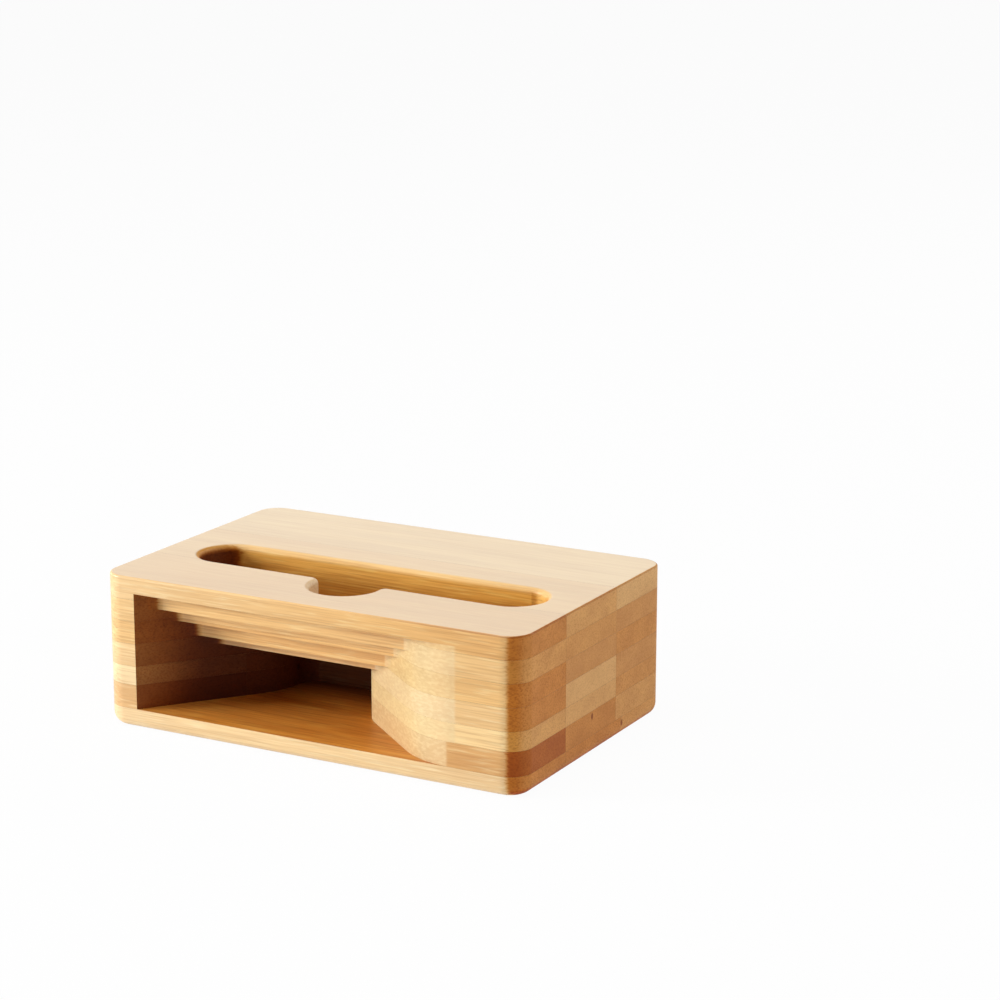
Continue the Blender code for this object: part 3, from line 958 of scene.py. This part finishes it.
def upper_edge_shade(net, spot, zones, wood):
    """Paints shade on the rounded upper edge of the right half."""
    crest = net.step(spot.raised, 0.10, 0.45) * (1 - net.step(spot.raised, 0.80, 0.96))
    crest = crest * zones.outside * net.step(spot.x, *CREST_REACH)
    share = crest * (CREST_SHADE - net.step(spot.turned, 0.3, 0.8) * LESS_AT_CORNER)
    return net.mix(share, wood, GLUE_TINT, "MULTIPLY")


print("stain beside a seam in mm:", STAIN_WIDTH / MM)

# %% Set the knots
# Their places along Y and Z on the right end. Their size along X is 1 metre: it does not count.
KNOTS = {"layer_2_middle_strip": (-2.0 * MM, 10.3 * MM), "base_rear_strip": (14.6 * MM, 3.8 * MM)}
KNOT_SIZE, KNOT_SHARE = (1, 0.75 * MM, 1.25 * MM), 0.95


def knotted(net, spot, wood, y, z):
    """Sets one dark knot into the right end."""
    shift = (0, -y / KNOT_SIZE[1], -z / KNOT_SIZE[2])
    offset = net.stretch(spot.place, KNOT_SIZE, shift)
    distance = net.add("ShaderNodeVectorMath", {"operation": "LENGTH"}, {0: offset}, output=1)
    knot = (1 - net.step(distance, 0.35, 1.0)) * net.step(spot.turned, 0.60, 0.90)
    return net.mix(knot * KNOT_SHARE, wood, GLUE_TINT, "MULTIPLY")


print("knots:", list(KNOTS))

# %% [markdown]
# ### Lacquer
#
# The stand has a thin satin lacquer that has sunk into the ends and the milled faces. So the coat
# is full on the flat top, thin on the sides and nearly gone on the cuts. Along the fibres the
# wood is sunk by a hundredth of a millimetre or two, which is too fine to model and is left to
# a weak bump.

# %% Lacquer the wood
PLAIN_ROUGHNESS, ROUGHER_ENDS, ROUGHER_LINES = 0.40, 0.16, 0.08
BUMP_STRENGTH, BUMP_HEIGHT = 0.25, 0.06 * MM
COAT = {"Specular IOR Level": 0.15, "Coat Roughness": 0.32, "Coat IOR": 1.7}
SIDE_COAT, MORE_COAT_ON_TOP, LESS_COAT_ON_CUTS = 0.35, 0.65, 0.9


def lacquered(net, spot, grain, zones, warm_shade, gloom):
    """Gives the shader its roughness, its bump and its coat."""
    roughness = PLAIN_ROUGHNESS + zones.cut_across * ROUGHER_ENDS + grain.lines * ROUGHER_LINES
    height = grain.lines * 0.5 + grain.bundles * 0.5
    sockets = {"Height": height, "Strength": BUMP_STRENGTH, "Distance": BUMP_HEIGHT}
    bump = net.add("ShaderNodeBump", {"invert": True}, sockets)
    coat = 1 - zones.cut_across * LESS_COAT_ON_CUTS
    coat = coat * (1 - zones.milled_above * LESS_COAT_ON_CUTS)
    coat = coat * (1 - warm_shade.larger(gloom).smaller(0.5) * 2)
    coat = coat * (1 - zones.horn * net.step(spot.turned, 0.0, 0.15))
    coat = coat * (SIDE_COAT + net.step(spot.raised, 0.93, 1.0) * MORE_COAT_ON_TOP)
    net.feed(net.shader, {"Roughness": roughness, "Normal": bump, "Coat Weight": coat, **COAT})


print("roughness from", PLAIN_ROUGHNESS, "to", PLAIN_ROUGHNESS + ROUGHER_ENDS + ROUGHER_LINES)

# %% [markdown]
# ### One material for each strip
#
# The strips share these steps but not their tone, their shift and their seams, so each has a
# material of its own. The steps come in this order: the wood first, then the painted shade that
# darkens it, then the glue and the painted shade on its upper edge, and the lacquer last. A tint
# before the gamma is deepened with the wood, and one after it stays as it is written.

# %% Finish every strip


def bamboo(name, tone, number, low, high):
    """Solid bamboo for one strip. The number shifts the pattern, so no two strips are alike."""
    net = new_finish(f"{name}.bamboo")
    spot = Spot(net, number)
    grain = Grain(net, spot)
    zones = Zones(net, spot, grain)
    warm_shade = warm_shade_in(net, spot, zones)
    gloom = gloom_in(net, spot, zones)
    wood = grown(net, spot, grain, zones, tone)
    # A warm painted shade on the horn's floor and in the slot.
    wood = net.mix(warm_shade, wood, WARM_SHADE_TINT, "MULTIPLY")
    wood = net.mix(zones.slot * 0.6, wood, SLOT_TINT, "MULTIPLY")
    gamma = deepening(net, spot, zones, name, warm_shade, gloom)
    wood = net.add("ShaderNodeGamma", {}, {"Color": wood, "Gamma": gamma})
    # Painted shade inside the horn and the slot.
    wood = net.mix(gloom, wood, GLOOM_TINT, "MULTIPLY")
    wood = stained(net, spot, zones, wood, low, high)
    wood = upper_edge_shade(net, spot, zones, wood)
    if name in KNOTS:
        wood = knotted(net, spot, wood, *KNOTS[name])
    net.feed(net.shader, {"Base Color": wood})
    lacquered(net, spot, grain, zones, warm_shade, gloom)
    return net.owner


slots = {part["node"]: part["material_slot"] for part in frame["record"]["subparts"]}
for number, (name, (plank, low, high)) in enumerate(planks.items()):
    plank.data.materials.clear()
    plank.data.materials.append(bamboo(name, TONES[slots[name]], number, low, high))
print("finished strips:", len(planks))

# %% [markdown]
# ## Floor, background and light
#
# The photograph is a cut-out on white, lit softly from the front left. The floor is white and
# keeps the stand's shadow. What the camera and mirroring faces see of the floor and of the world
# is mostly plain white, told apart from light by the kind of ray. The light on the object itself
# stays at a plain level, so that its colours come out as written. More light on everything would
# make the background white as well, but it would bleach the wood.

# %% Lay the floor
FLOOR_SIZE, FLOOR_DROP = 6, 0.02 * MM
FLOOR_PAINT = {"Base Color": (0.86, 0.86, 0.86, 1), "Roughness": 0.9, "Specular IOR Level": 0.0}
# How much of the floor is plain white: for light that falls on it, and besides where it is seen.
WHITE_IN_LIGHT, MORE_WHERE_SEEN = 0.15, 0.81


def seen_by(net):
    """1 for rays from the camera, a mirror or glass, and 0 for the light's own."""
    camera_ray, glossy_ray, glass_ray = (
        net.add("ShaderNodeLightPath", {}, {}, output=f"Is {kind} Ray")
        for kind in ("Camera", "Glossy", "Transmission")
    )
    return camera_ray.larger(glossy_ray.larger(glass_ray))


bpy.ops.object.select_all(action="DESELECT")
bpy.ops.mesh.primitive_plane_add(size=FLOOR_SIZE, location=(0, 0, -FLOOR_DROP))
bpy.ops.object.transform_apply(location=True)
floor = bpy.context.object
floor.name = "floor"
paint = new_finish("white_floor")
paint.feed(paint.shader, FLOOR_PAINT)
painted = Value(paint, paint.shader.outputs[0])
glow = paint.add("ShaderNodeEmission", {}, {"Color": WHITE, "Strength": 1.0})
white_share = WHITE_IN_LIGHT + seen_by(paint) * MORE_WHERE_SEEN
shown = paint.add("ShaderNodeMixShader", {}, {0: white_share, 1: painted, 2: glow})
paint.feed(paint.tree.nodes["Material Output"], {"Surface": shown})
floor.data.materials.append(paint.owner)
print("floor laid, metres across:", FLOOR_SIZE)

# %% Light the scene
AMBIENT = 0.10
LOOK_AT = Vector((0, 0, 0.02))
# Each lamp's place in metres, its width in metres and its power in watts.
LAMPS = {
    "side": ((-1.17, -0.70, 0.35), 0.39, 20.0),
    "overhead": ((-0.15, -0.25, 1.10), 0.9, 7.0),
    "far side": ((1.05, 0.12, 0.40), 0.5, 3.1),
    "rear": ((0.45, 0.95, 0.45), 0.5, 2.2),
}

world = bpy.data.worlds.new("studio")
scene.world = world
sky = Net(world, "Background")
sky.feed(sky.shader, {"Color": WHITE, "Strength": AMBIENT + seen_by(sky) * (1 - AMBIENT)})
for name, (place, width, power) in LAMPS.items():
    light = bpy.data.lights.new(name, "AREA")
    light.size = width
    light.energy = power
    lamp = bpy.data.objects.new(name, light)
    scene.collection.objects.link(lamp)
    lamp.location = place
    lamp.rotation_euler = (LOOK_AT - lamp.location).to_track_quat("-Z", "Y").to_euler()
scene.view_settings.view_transform = "Standard"
print("lamps:", list(LAMPS))
